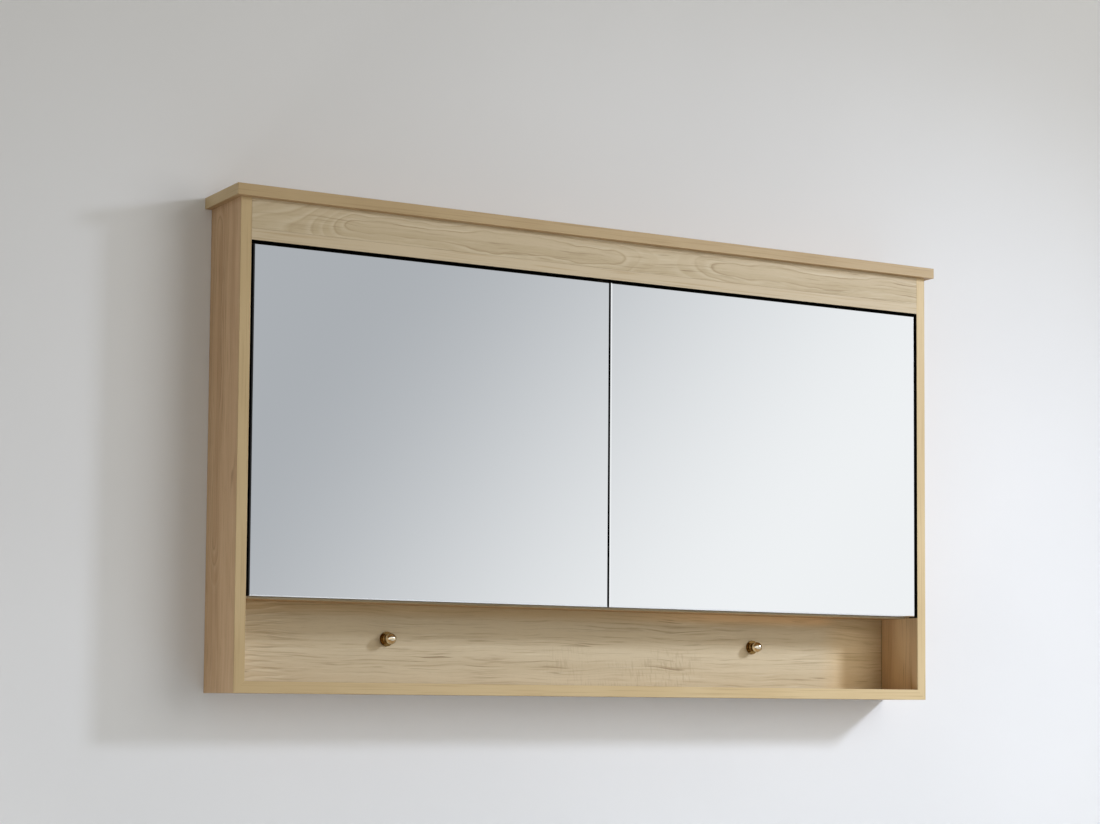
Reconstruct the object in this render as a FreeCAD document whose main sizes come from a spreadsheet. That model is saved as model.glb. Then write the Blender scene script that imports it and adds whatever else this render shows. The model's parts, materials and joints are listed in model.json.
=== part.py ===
import FreeCAD, Part
import Sketcher
import os
import re

# Wall-hung mirror cabinet with two doors, an open niche and a cornice.
# X runs to the right, Y into the wall and Z up.
# The origin is on the wall, in the middle of the four wall screws.

doc = FreeCAD.newDocument("MirrorCabinet")
dims = doc.addObject("Spreadsheet::Sheet", "Dims")

SIZES = [
    ("carcass_width", 1180, "width over the two sides"),
    ("carcass_depth", 108, "wall to the front of the sides"),
    ("board", 16, "thickness of the carcass boards"),
    ("band", 1, "thickness of the edge bands"),
    ("edge_round", 0.6, "rounding of the banded edges"),
    ("niche_height", 113, "clear height of the open niche"),
    ("bay_height", 473, "clear height behind the doors"),
    ("frieze_height", 42, "height of the frieze board"),
    ("cornice_ends", 10, "overhang of the cornice past each side"),
    ("cornice_front", 12, "overhang of the cornice past the front"),
    ("back_thick", 3, "thickness of the back panel"),
    ("groove_depth", 6, "depth of the grooves for the back panel"),
    ("rail_height", 64, "height of a hanging rail"),
    ("wall_screw_span", 900, "distance between the wall screws of a rail"),
    ("wall_screw_hole", 6.5, "diameter of a wall screw hole"),
    ("dowel_dia", 8, "diameter of a dowel"),
    ("dowel_length", 30, "length of a dowel"),
    ("dowel_sink", 10, "depth of a dowel in the face of a board"),
    ("dowel_inset", 22, "distance of a dowel from the edge of a board"),
    ("side_gap", 4, "gap between a door and its side"),
    ("top_gap", 4, "gap over the doors"),
    ("middle_gap", 3, "gap between the two doors"),
    ("door_lift", 2.5, "height of the doors over the underside of the niche shelf"),
    ("door_setback", 1, "distance of the mirrors behind the front"),
    ("door_thick", 16, "thickness of a door board"),
    ("mirror_thick", 4, "thickness of a mirror pane"),
    ("mirror_bevel", 1.5, "bevel of the pane's front edges"),
    ("finger_gap", 12, "space between a door and the niche shelf"),
    ("bumper_dia", 6, "diameter of a bumper"),
    ("bumper_thick", 2, "thickness of a bumper"),
    ("bumper_inset", 50, "distance of a bumper from the end of the divider"),
    ("hinge_height", 90, "height of a hinge over the door's foot or under its top"),
    ("open_angle", 105, "largest opening of a door in degrees"),
    ("pivot_inset", 16, "distance of the hinge pin from the door's edge"),
    ("pivot_depth", 9, "distance of the hinge pin from the door's back"),
    ("swing_room", 0.9, "room between the turning door and the hinge arm"),
    ("pin_dia", 3, "diameter of a hinge pin"),
    ("pin_play", 0.05, "radial play of a hinge pin"),
    ("cup_dia", 35, "diameter of a hinge cup"),
    ("cup_depth", 13, "depth of a hinge cup"),
    ("cup_wall", 0.8, "wall of a hinge cup"),
    ("cup_edge", 5, "distance of a hinge cup from the door's edge"),
    ("rim_width", 1, "width of the rim round a hinge cup"),
    ("flange_thick", 1, "thickness of the cup's flange"),
    ("flange_length", 62, "length of the cup's flange"),
    ("flange_width", 20, "width of the cup's flange"),
    ("cup_screw_span", 48, "distance between the screws of a cup"),
    ("cup_screw_offset", 6, "offset of the cup screws from the middle of the cup"),
    ("lug_width", 6, "width of the lugs that hold the hinge pin"),
    ("lug_thick", 4, "thickness of the lugs"),
    ("lug_play", 1, "room between the arm and the lugs"),
    ("arm_thick", 2.5, "thickness of a hinge arm"),
    ("arm_width", 12, "width of a hinge arm"),
    ("arm_length", 42, "length of the arm along the mounting plate"),
    ("arm_bend", 1.5, "inner radius of the arm's bends"),
    ("knuckle_dia", 5.2, "outer diameter of the arm's knuckle"),
    ("plate_thick", 2, "thickness of a mounting plate"),
    ("plate_length", 50, "length of a mounting plate"),
    ("plate_width", 16, "width of a mounting plate"),
    ("plate_screw_span", 32, "distance between the screws of a plate"),
    ("bridge_height", 6, "height of the plate's bridge under the arm"),
    ("bridge_inset", 5, "distance of the bridge from the ends of the arm"),
    ("wood_screw_dia", 3.5, "diameter of a wood screw"),
    ("wood_screw_head", 7, "head diameter of a wood screw"),
    ("wood_screw_length", 12, "length of a wood screw"),
    ("wood_screw_tip", 3, "length of a wood screw's point"),
    ("arm_screw_dia", 4, "diameter of the arm screw"),
    ("arm_screw_head", 7, "head diameter of the arm screw"),
    ("arm_screw_rise", 2, "head height of the arm screw"),
    ("peg_rows", 8, "rows of peg holes"),
    ("peg_pitch", 32, "distance between the rows of peg holes"),
    ("peg_dia", 5, "diameter of a shelf peg"),
    ("peg_sink", 7, "depth of a shelf peg in its hole"),
    ("peg_reach", 8, "reach of a shelf peg under the shelf"),
    ("peg_collar_dia", 7.5, "diameter of a peg's collar"),
    ("peg_collar", 1.5, "thickness of a peg's collar"),
    ("peg_inset", 11, "distance of the pegs from the edges of the shelf"),
    ("shelf_thick", 5, "thickness of a glass shelf"),
    ("shelf_play", 2, "gap at the ends and the back of a glass shelf"),
    ("shelf_setback", 2, "distance of a glass shelf behind the niche shelf's front"),
    ("shelf_bevel", 0.5, "bevel of a glass shelf's front edges"),
    ("hook_span", 636, "distance between the two hooks"),
    ("hook_height", 64, "height of a hook over the niche floor"),
    ("hook_base_dia", 21, "diameter of a hook's base"),
    ("hook_base", 2, "thickness of a hook's base"),
    ("hook_cove", 3, "radius of the cove between base and neck"),
    ("hook_neck_dia", 8, "diameter of a hook's neck"),
    ("hook_ball_dia", 16, "diameter of a hook's ball"),
    ("hook_reach", 14, "distance of the ball's middle from the niche back"),
    ("hook_screw_dia", 4, "diameter of a hook's screw"),
    ("hook_screw_head", 8, "head diameter of a hook's screw"),
    ("hook_screw_sink", 3, "depth of the screw head in the niche back"),
    ("hook_screw_grip", 8, "length of the screw in the hook"),
]

ALIASES = re.compile(r"\b(" + "|".join(alias for alias, value, meaning in SIZES) + r")\b")
X_AXIS = FreeCAD.Vector(1, 0, 0)
Y_AXIS = FreeCAD.Vector(0, 1, 0)
Z_AXIS = FreeCAD.Vector(0, 0, 1)
FULL_TURN = 360
TOUCH = 0.001
# The sketcher's numbers for the sketch's own origin and for the points of a line, arc or circle.
ORIGIN = -1
START, END, CENTRE = range(1, 4)
TO_FRONT = FreeCAD.Rotation(Z_AXIS, -Y_AXIS)
TO_LEFT = FreeCAD.Rotation(Z_AXIS, -X_AXIS)
TO_RIGHT = FreeCAD.Rotation(Z_AXIS, X_AXIS)


def fill_sheet():
    for row, (alias, value, meaning) in enumerate(SIZES, start=1):
        dims.set(f"A{row}", meaning)
        dims.set(f"B{row}", str(value))
        dims.setAlias(f"B{row}", alias)
    doc.recompute()


fill_sheet()

# Levels and lines that several pieces share, as formulas of the sheet's sizes.
HALF_WIDTH = "(carcass_width / 2)"
INNER_HALF = "(carcass_width / 2 - board)"
INNER_WIDTH = "(carcass_width - 2 * board)"
BAY_TOP = "(bay_height / 2)"
BAY_FLOOR = "(-bay_height / 2)"
SHELF_UNDER = "(-bay_height / 2 - board)"
NICHE_FLOOR = "(-bay_height / 2 - board - niche_height)"
BOTTOM = "(-bay_height / 2 - 2 * board - niche_height)"
FRIEZE_FOOT = "(bay_height / 2 + board)"
CORNICE_UNDER = "(bay_height / 2 + board + frieze_height)"
CORNICE_BEHIND_BAND = "(-carcass_depth - cornice_front + band)"
SIDE_HEIGHT = "(bay_height + 3 * board + niche_height + frieze_height)"
FRONT = "(-carcass_depth)"
BEHIND_BAND = "(-carcass_depth + band)"
BACK_FACE = "(-board - back_thick)"
MIRROR_BACK = "(-carcass_depth + door_setback + mirror_thick)"
DOOR_BACK = "(-carcass_depth + door_setback + mirror_thick + door_thick)"
DIVIDER_FRONT = f"({DOOR_BACK} + bumper_thick)"
SHELF_FRONT = f"({DOOR_BACK} + finger_gap)"
GLASS_FRONT = f"({SHELF_FRONT} + shelf_setback)"
GLASS_BACK = f"({BACK_FACE} - shelf_play)"
DOOR_LEFT = f"(-{INNER_HALF} + side_gap)"
DOOR_WIDTH = f"({INNER_HALF} - side_gap - middle_gap / 2)"
DOOR_FOOT = f"({SHELF_UNDER} + door_lift)"
DOOR_HEIGHT = f"({BAY_TOP} - top_gap - {DOOR_FOOT})"
PIVOT_X = f"({DOOR_LEFT} + pivot_inset)"
PIVOT_Y = f"({DOOR_BACK} - pivot_depth)"
HINGE_LEVELS = {
    "lower": f"({DOOR_FOOT} + hinge_height)",
    "upper": f"({BAY_TOP} - top_gap - hinge_height)",
}
PEG_LOWEST = "(-(peg_rows - 1) * peg_pitch / 2)"
PEG_FRONT = f"({GLASS_FRONT} + peg_inset)"
PEG_BACK = f"({GLASS_BACK} - peg_inset)"
SHELF_LEVELS = {
    "lower": f"({PEG_LOWEST} + peg_pitch)",
    "upper": f"(-{PEG_LOWEST} - peg_pitch)",
}

# Hinge lines, measured from the hinge pin: X towards the free edge, Y into the cabinet.
SWEEP = "sqrt(pivot_inset ^ 2 + pivot_depth ^ 2)"
ARM_CROSS = f"({SWEEP} + swing_room)"
ARM_SIDE = "(pivot_depth * sin(open_angle * 1 deg) - pivot_inset * cos(open_angle * 1 deg) + swing_room)"
PANEL_X = "(-pivot_inset - side_gap)"
ARM_BASE = f"({PANEL_X} + plate_thick + bridge_height)"
PLATE_Y = f"({ARM_CROSS} + arm_length / 2)"
CUP_X = "(cup_edge + cup_dia / 2 - pivot_inset)"
LUG_FOOT = "(arm_width / 2 + lug_play)"
LUG_TOP = "(arm_width / 2 + lug_play + lug_thick)"


def in_sheet(text):
    return ALIASES.sub(r"Dims.\1", text)


def number(text):
    return float(dims.evalExpression(in_sheet(text)))


def bind(item, name, text):
    item.setExpression(name, in_sheet(text))


def place(item, x, y, z, turn=None):
    if turn:
        item.Placement.Rotation = turn
    bind(item, "Placement.Base.x", x)
    bind(item, "Placement.Base.y", y)
    bind(item, "Placement.Base.z", z)


# Sketches and features.

def new_body(label):
    body = doc.addObject("PartDesign::Body", label)
    body.Label = label
    return body


def new_sketch(body, role, lift="0"):
    plane = next(feature for feature in body.Origin.OriginFeatures if feature.Role == role)
    sketch = body.newObject("Sketcher::SketchObject", body.Label + "_sketch")
    sketch.AttachmentSupport = [(plane, "")]
    sketch.MapMode = "FlatFace"
    bind(sketch, "AttachmentOffset.Base.z", lift)
    return sketch


def hold(sketch, kind, shape, end, text):
    position = sketch.addConstraint(Sketcher.Constraint(kind, ORIGIN, START, shape, end, number(text)))
    bind(sketch, f"Constraints[{position}]", text)


def hold_radius(sketch, shape, text):
    position = sketch.addConstraint(Sketcher.Constraint("Radius", shape, number(text)))
    bind(sketch, f"Constraints[{position}]", text)


def draw_outline(sketch, corners, arcs=None):
    # A closed outline through the corners. An arc is listed under its first corner with its centre,
    # its radius and whether it turns clockwise.
    arcs = arcs or {}
    points = [FreeCAD.Vector(number(x), number(y), 0) for x, y in corners]
    shapes = []
    heads = []
    tails = []
    for corner, point, following in zip(corners, points, points[1:] + points[:1]):
        clockwise = corner in arcs and arcs[corner]["clockwise"]
        shapes.append(sketch.addGeometry(piece_between(point, following, arcs.get(corner)), False))
        heads.append(END if clockwise else START)
        tails.append(START if clockwise else END)
    for index, (x, y) in enumerate(corners):
        before = index - 1
        join = Sketcher.Constraint("Coincident", shapes[before], tails[before], shapes[index], heads[index])
        sketch.addConstraint(join)
        hold(sketch, "DistanceX", shapes[index], heads[index], x)
        hold(sketch, "DistanceY", shapes[index], heads[index], y)
        if (x, y) in arcs:
            hold_radius(sketch, shapes[index], arcs[x, y]["radius"])


def piece_between(start, end, arc):
    if not arc:
        return Part.LineSegment(start, end)
    x, y = arc["centre"]
    middle = FreeCAD.Vector(number(x), number(y), 0)
    circle = Part.Circle(middle, Z_AXIS, number(arc["radius"]))
    first, last = (end, start) if arc["clockwise"] else (start, end)
    return Part.ArcOfCircle(circle, circle.parameter(first), circle.parameter(last))


def draw_rectangle(sketch, x, y, width, height):
    right = f"{x} + {width}"
    top = f"{y} + {height}"
    draw_outline(sketch, [(x, y), (right, y), (right, top), (x, top)])


def draw_circle(sketch, x, y, radius):
    middle = FreeCAD.Vector(number(x), number(y), 0)
    shape = sketch.addGeometry(Part.Circle(middle, Z_AXIS, number(radius)), False)
    hold(sketch, "DistanceX", shape, CENTRE, x)
    hold(sketch, "DistanceY", shape, CENTRE, y)
    hold_radius(sketch, shape, radius)


def pad(body, sketch, length, flip=False):
    feature = body.newObject("PartDesign::Pad", body.Label + "_pad")
    feature.Profile = sketch
    feature.Reversed = flip
    bind(feature, "Length", length)
    doc.recompute()
    return feature


def pocket(body, sketch, length, flip=False):
    whole = body.Shape.Volume
    feature = body.newObject("PartDesign::Pocket", body.Label + "_pocket")
    feature.Profile = sketch
    feature.Reversed = flip
    bind(feature, "Length", length)
    doc.recompute()
    if body.Shape.Volume > whole - TOUCH:
        raise RuntimeError(f"{feature.Label} cuts nothing")
    return feature


def revolve(body, sketch):
    feature = body.newObject("PartDesign::Revolution", body.Label + "_revolution")
    feature.Profile = sketch
    feature.ReferenceAxis = (sketch, ["V_Axis"])
    feature.Angle = FULL_TURN
    doc.recompute()
    return feature


def soften(body, kind, size, chosen):
    # Rounds or bevels the edges that the given test picks.
    base = body.Tip
    names = [f"Edge{index}" for index, edge in enumerate(base.Shape.Edges, start=1) if chosen(edge)]
    feature = body.newObject("PartDesign::" + kind, f"{body.Label}_{kind.lower()}")
    feature.Base = (base, names)
    bind(feature, "Radius" if kind == "Fillet" else "Size", size)
    doc.recompute()
    return feature


def runs_along(edge, axis):
    return edge.tangentAt(edge.FirstParameter).cross(axis).Length < TOUCH


def on_front(edge, front):
    return abs(edge.BoundBox.YMin - front) < TOUCH and abs(edge.BoundBox.YMax - front) < TOUCH


def on_left(edge):
    return edge.BoundBox.XMax < TOUCH


# Whole pieces from bodies.

def mirrored(label, source):
    copy = doc.addObject("Part::Mirroring", label)
    copy.Label = label
    copy.Source = source
    copy.Base = FreeCAD.Vector(0, 0, 0)
    copy.Normal = X_AXIS
    return copy


def grouped(label, items):
    group = doc.addObject("Part::Compound", label)
    group.Label = label
    group.Links = items
    return group


def drilled(label, blank, tools):
    cut = doc.addObject("Part::Cut", label)
    cut.Label = label
    cut.Base = blank
    cut.Tool = grouped(label + "_drills", tools) if len(tools) > 1 else tools[0]
    return cut


def cylinder(label, diameter, length, x, y, z, axis=Z_AXIS):
    rod = doc.addObject("Part::Cylinder", label)
    rod.Label = label
    bind(rod, "Radius", f"{diameter} / 2")
    bind(rod, "Height", length)
    place(rod, x, y, z, FreeCAD.Rotation(Z_AXIS, axis))
    return rod


def slab(label, x, z, width, height, back, depth, holes=()):
    # A board drawn from the front, with its through holes, padded from its back face to the front.
    body = new_body(label)
    sketch = new_sketch(body, "XZ_Plane")
    draw_rectangle(sketch, "0", "0", width, height)
    for hole_x, hole_z, diameter in holes:
        draw_circle(sketch, hole_x, hole_z, f"{diameter} / 2")
    pad(body, sketch, depth)
    place(body, x, back, z)
    return body


def revolved(label, corners, turn, x, y, z, arcs=None):
    body = new_body(label)
    sketch = new_sketch(body, "XZ_Plane")
    draw_outline(sketch, corners, arcs)
    revolve(body, sketch)
    place(body, x, y, z, turn)
    return body


def wood_screw(label, x, y, z, turn):
    shank = "wood_screw_dia / 2"
    neck = "(wood_screw_head - wood_screw_dia) / 2"
    corners = [
        ("0", "0"),
        ("wood_screw_head / 2", "0"),
        (shank, neck),
        (shank, "wood_screw_length - wood_screw_tip"),
        ("0", "wood_screw_length"),
    ]
    return revolved(label, corners, turn, x, y, z)


# Dowels.

def dowel_across(label, y, z):
    # A dowel along X from the left side into the end of a board.
    return cylinder(label, "dowel_dia", "dowel_length", f"-{INNER_HALF} - dowel_sink", y, z, X_AXIS)


def make_left_dowels():
    middle = "-board / 2"
    shelf_level = f"{BAY_FLOOR} - board / 2"
    top_level = f"{BAY_TOP} + board / 2"
    spots = {
        "dowel_shelf_front": (f"{SHELF_FRONT} + dowel_inset", shelf_level),
        "dowel_shelf_back": ("-dowel_inset", shelf_level),
        "dowel_top_front": (f"{FRONT} + dowel_inset", top_level),
        "dowel_top_back": (f"{BACK_FACE} - dowel_inset", top_level),
        "dowel_niche_low": (middle, f"{NICHE_FLOOR} + dowel_inset"),
        "dowel_niche_high": (middle, f"{SHELF_UNDER} - dowel_inset"),
        "dowel_rail_low": (middle, f"{BAY_FLOOR} + rail_height / 2"),
        "dowel_rail_high": (middle, f"{BAY_TOP} - rail_height / 2"),
        "dowel_frieze": (f"{FRONT} + board / 2", f"{CORNICE_UNDER} - frieze_height / 2"),
    }
    dowels = [dowel_across(label, y, z) for label, (y, z) in spots.items()]
    for name, y in (("front", f"{FRONT} + dowel_inset"), ("back", f"{BACK_FACE} - dowel_inset")):
        foot = f"{CORNICE_UNDER} + dowel_sink - dowel_length"
        x = f"-{HALF_WIDTH} + board / 2"
        dowels.append(cylinder("dowel_cornice_" + name, "dowel_dia", "dowel_length", x, y, foot))
    return grouped("dowels_left", dowels)


def make_divider_dowels():
    dowels = []
    for name, y in (("front", f"{SHELF_FRONT} + dowel_inset"), ("back", f"{BACK_FACE} - dowel_inset")):
        low = f"{BAY_FLOOR} - dowel_sink"
        high = f"{BAY_TOP} + dowel_sink - dowel_length"
        dowels.append(cylinder("dowel_divider_low_" + name, "dowel_dia", "dowel_length", "0", y, low))
        dowels.append(cylinder("dowel_divider_high_" + name, "dowel_dia", "dowel_length", "0", y, high))
    return grouped("dowels_divider", dowels)


# Carcass.

def make_side_blank():
    body = new_body("side_left_blank")
    sketch = new_sketch(body, "XZ_Plane")
    draw_outline(sketch, [("0", "0"), ("board", "board"), ("board", SIDE_HEIGHT), ("0", SIDE_HEIGHT)])
    pad(body, sketch, "carcass_depth - band")
    groove = new_sketch(body, "YZ_Plane", "board")
    foot = f"{BAY_FLOOR} - {BOTTOM}"
    draw_rectangle(groove, BACK_FACE, foot, "back_thick", f"{SIDE_HEIGHT} - ({foot})")
    pocket(body, groove, "groove_depth")
    drill_peg_holes(body, "board", "0", BOTTOM, False)
    place(body, f"-{HALF_WIDTH}", "0", BOTTOM)
    return body


def drill_peg_holes(body, face, back, foot, flip):
    # Two columns of holes in a face of a board whose own zero is at the given back and foot.
    sketch = new_sketch(body, "YZ_Plane", face)
    for y in (PEG_FRONT, PEG_BACK):
        draw_circle(sketch, f"{y} - {back}", f"{PEG_LOWEST} - {foot}", "peg_dia / 2")
    holes = pocket(body, sketch, "peg_sink", flip)
    rows = body.newObject("PartDesign::LinearPattern", body.Label + "_rows")
    rows.Originals = [holes]
    rows.Direction = (sketch, ["V_Axis"])
    bind(rows, "Length", "(peg_rows - 1) * peg_pitch")
    bind(rows, "Occurrences", "peg_rows")
    body.Tip = rows
    doc.recompute()


def make_side_band():
    body = new_body("edge_band_left")
    sketch = new_sketch(body, "XZ_Plane")
    draw_outline(sketch, [("0", "0"), ("board", "board"), ("board", SIDE_HEIGHT), ("0", SIDE_HEIGHT)])
    pad(body, sketch, "band")
    front = -number("band")
    soften(body, "Fillet", "edge_round", lambda edge: on_front(edge, front) and runs_along(edge, Z_AXIS))
    place(body, f"-{HALF_WIDTH}", BEHIND_BAND, BOTTOM)
    return body


def mitred_bottom(label, back, depth):
    body = new_body(label)
    sketch = new_sketch(body, "XZ_Plane")
    far = "carcass_width - board"
    draw_outline(sketch, [("0", "0"), ("carcass_width", "0"), (far, "board"), ("board", "board")])
    pad(body, sketch, depth)
    place(body, f"-{HALF_WIDTH}", back, BOTTOM)
    return body


def make_bottom_band():
    body = mitred_bottom("edge_band_bottom", BEHIND_BAND, "band")
    front = -number("band")
    soften(body, "Fillet", "edge_round", lambda edge: on_front(edge, front) and runs_along(edge, X_AXIS))
    return body


def make_top_band():
    body = slab("edge_band_top", f"-{INNER_HALF}", BAY_TOP, INNER_WIDTH, "board", BEHIND_BAND, "band")
    front = -number("band")
    soften(body, "Fillet", "edge_round", lambda edge: on_front(edge, front) and runs_along(edge, X_AXIS))
    return body


def make_niche_shelf_blank():
    depth = f"-{SHELF_FRONT}"
    return slab("niche_shelf_blank", f"-{INNER_HALF}", SHELF_UNDER, INNER_WIDTH, "board", "0", depth)


def make_top_blank():
    depth = f"{BACK_FACE} - {BEHIND_BAND}"
    return slab("compartment_top_blank", f"-{INNER_HALF}", BAY_TOP, INNER_WIDTH, "board", BACK_FACE, depth)


def make_divider_blank():
    depth = f"{BACK_FACE} - {DIVIDER_FRONT}"
    body = slab("centre_divider_blank", "-board / 2", BAY_FLOOR, "board", "bay_height", BACK_FACE, depth)
    drill_peg_holes(body, "board", BACK_FACE, BAY_FLOOR, False)
    drill_peg_holes(body, "0", BACK_FACE, BAY_FLOOR, True)
    return body


def make_frieze_blank():
    back = f"{FRONT} + board"
    height = "frieze_height"
    return slab("frieze_board_blank", f"-{INNER_HALF}", FRIEZE_FOOT, INNER_WIDTH, height, back, "board")


def make_cornice_blank():
    half = f"({HALF_WIDTH} + cornice_ends - band)"
    depth = f"-{CORNICE_BEHIND_BAND}"
    return slab("cornice_blank", f"-{half}", CORNICE_UNDER, f"2 * {half}", "board", "0", depth)


def make_cornice_bands():
    half = f"({HALF_WIDTH} + cornice_ends)"
    back = CORNICE_BEHIND_BAND
    front = slab("cornice_band_front", f"-{half}", CORNICE_UNDER, f"2 * {half}", "board", back, "band")
    foremost = -number("band")
    soften(front, "Fillet", "edge_round", lambda edge: on_front(edge, foremost))
    left = slab("cornice_band_left", f"-{half}", CORNICE_UNDER, "band", "board", "0", f"-{back}")
    soften(left, "Fillet", "edge_round", lambda edge: on_left(edge) and runs_along(edge, Y_AXIS))
    return grouped("cornice_bands", [front, left, mirrored("cornice_band_right", left)])


def make_niche_back_blank():
    height = "niche_height"
    return slab("niche_back_blank", f"-{INNER_HALF}", NICHE_FLOOR, INNER_WIDTH, height, "0", "board")


def wall_screw_holes(middle, levels):
    sides = (f"{middle} - wall_screw_span / 2", f"{middle} + wall_screw_span / 2")
    return [(x, z, "wall_screw_hole") for x in sides for z in levels]


def make_back_panel():
    half = f"({INNER_HALF} + groove_depth)"
    holes = wall_screw_holes(half, ("rail_height / 2", "bay_height - rail_height / 2"))
    height = f"{CORNICE_UNDER} - {BAY_FLOOR}"
    return slab("back_panel", f"-{half}", BAY_FLOOR, f"2 * {half}", height, "-board", "back_thick", holes)


def make_rail_blank(label, foot):
    holes = wall_screw_holes(INNER_HALF, ("rail_height / 2",))
    return slab(label, f"-{INNER_HALF}", foot, INNER_WIDTH, "rail_height", "0", "board", holes)


# Doors.

def make_door_blank():
    back = DOOR_BACK
    body = slab("door_board_left_blank", DOOR_LEFT, DOOR_FOOT, DOOR_WIDTH, DOOR_HEIGHT, back, "door_thick")
    sketch = new_sketch(body, "XZ_Plane")
    for z in HINGE_LEVELS.values():
        draw_circle(sketch, "cup_edge + cup_dia / 2", f"{z} - {DOOR_FOOT}", "cup_dia / 2")
    pocket(body, sketch, "cup_depth", True)
    return body


def make_mirror():
    body = slab("mirror_left", DOOR_LEFT, DOOR_FOOT, DOOR_WIDTH, DOOR_HEIGHT, MIRROR_BACK, "mirror_thick")
    front = -number("mirror_thick")
    soften(body, "Chamfer", "mirror_bevel", lambda edge: on_front(edge, front))
    return body


def make_bumpers():
    x = "-(middle_gap / 2 + board / 2) / 2"
    levels = {"lower": f"{BAY_FLOOR} + bumper_inset", "upper": f"{BAY_TOP} - bumper_inset"}
    bumpers = []
    for name, z in levels.items():
        bumpers.append(cylinder("bumper_" + name, "bumper_dia", "bumper_thick", x, DOOR_BACK, z, Y_AXIS))
    return grouped("door_bumpers_left", bumpers)


# Hinges. Each is built round its own pin.

def make_cup(name, level, drills):
    body = new_body("hinge_cup_blank_" + name)
    flange = new_sketch(body, "XZ_Plane", "-pivot_depth")
    corner = f"{CUP_X} + cup_screw_offset - flange_width / 2"
    draw_rectangle(flange, corner, "-flange_length / 2", "flange_width", "flange_length")
    pad(body, flange, "flange_thick", True)
    rim = new_sketch(body, "XZ_Plane", "-pivot_depth")
    draw_circle(rim, CUP_X, "0", "cup_dia / 2 + rim_width")
    pad(body, rim, "flange_thick", True)
    cup = new_sketch(body, "XZ_Plane", "-pivot_depth")
    draw_circle(cup, CUP_X, "0", "cup_dia / 2")
    pad(body, cup, "cup_depth")
    hollow = new_sketch(body, "XZ_Plane", "-pivot_depth - flange_thick")
    draw_circle(hollow, CUP_X, "0", "cup_dia / 2 - cup_wall")
    pocket(body, hollow, "flange_thick + cup_depth - cup_wall", True)
    for foot in (LUG_FOOT, f"-{LUG_TOP}"):
        lug = new_sketch(body, "XY_Plane", foot)
        height = "cup_depth - pivot_depth + lug_width / 2"
        draw_rectangle(lug, "-lug_width / 2", "pivot_depth - cup_depth", "lug_width", height)
        pad(body, lug, "lug_thick")
    place(body, PIVOT_X, PIVOT_Y, level)
    return drilled("hinge_cup_" + name, body, drills)


def make_cup_screws(name, level):
    x = f"{PIVOT_X} + {CUP_X} + cup_screw_offset"
    y = f"{DOOR_BACK} + flange_thick"
    screws = []
    for end, z in (("low", f"{level} - cup_screw_span / 2"), ("high", f"{level} + cup_screw_span / 2")):
        screws.append(wood_screw(f"cup_screw_{name}_{end}", x, y, z, TO_FRONT))
    return screws


def make_hinge_pin(name, level):
    foot = f"{level} - {LUG_TOP}"
    return cylinder("hinge_pin_" + name, "pin_dia", f"2 * {LUG_TOP}", PIVOT_X, PIVOT_Y, foot)


def make_arm(name, level, arm_screw):
    body = new_body("hinge_arm_blank_" + name)
    strip = new_sketch(body, "XY_Plane", "-arm_width / 2")
    half = "arm_thick / 2"
    side_out = f"{ARM_SIDE} + arm_thick"
    cross_out = f"{ARM_CROSS} + arm_thick"
    base_out = f"{ARM_BASE} + arm_thick"
    end = f"{ARM_CROSS} + arm_length"
    outer_bends = [(side_out, f"-{half}"), (side_out, cross_out), (ARM_BASE, ARM_CROSS)]
    inner_bends = [(ARM_SIDE, half), (ARM_SIDE, ARM_CROSS), (base_out, cross_out)]
    draw_outline(strip, [
        ("0", f"-{half}"), outer_bends[0], outer_bends[1], inner_bends[2], (base_out, end),
        (ARM_BASE, end), outer_bends[2], inner_bends[1], inner_bends[0], ("0", half),
    ])
    pad(body, strip, "arm_width")
    soften(body, "Fillet", "arm_bend + arm_thick", stands_at(outer_bends))
    soften(body, "Fillet", "arm_bend", stands_at(inner_bends))
    knuckle = new_sketch(body, "XY_Plane", "-arm_width / 2")
    draw_circle(knuckle, "0", "0", "knuckle_dia / 2")
    pad(body, knuckle, "arm_width")
    eye = new_sketch(body, "XY_Plane", "-arm_width / 2")
    draw_circle(eye, "0", "0", "pin_dia / 2 + pin_play")
    pocket(body, eye, "arm_width", True)
    place(body, PIVOT_X, PIVOT_Y, level)
    return drilled("hinge_arm_" + name, body, [arm_screw])


def stands_at(corners):
    # A test for the upright edges at the given corners.
    spots = [FreeCAD.Vector(number(x), number(y), 0) for x, y in corners]

    def chosen(edge):
        foot = edge.Vertexes[0].Point
        flat = FreeCAD.Vector(foot.x, foot.y, 0)
        return runs_along(edge, Z_AXIS) and any(flat.distanceToPoint(spot) < TOUCH for spot in spots)

    return chosen


def make_plate(name, level, drills):
    body = new_body("hinge_plate_blank_" + name)
    base = new_sketch(body, "YZ_Plane")
    draw_rectangle(base, f"{PLATE_Y} - plate_width / 2", "-plate_length / 2", "plate_width", "plate_length")
    pad(body, base, "plate_thick")
    bridge = new_sketch(body, "YZ_Plane", "plate_thick")
    start = f"{ARM_CROSS} + bridge_inset"
    draw_rectangle(bridge, start, "-arm_width / 2", "arm_length - 2 * bridge_inset", "arm_width")
    pad(body, bridge, "bridge_height")
    place(body, f"-{INNER_HALF}", PIVOT_Y, level)
    return drilled("hinge_plate_" + name, body, drills)


def make_plate_screws(name, level):
    x = f"-{INNER_HALF} + plate_thick"
    y = f"{PIVOT_Y} + {PLATE_Y}"
    screws = []
    for end, z in (("low", f"{level} - plate_screw_span / 2"), ("high", f"{level} + plate_screw_span / 2")):
        screws.append(wood_screw(f"plate_screw_{name}_{end}", x, y, z, TO_LEFT))
    return screws


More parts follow.
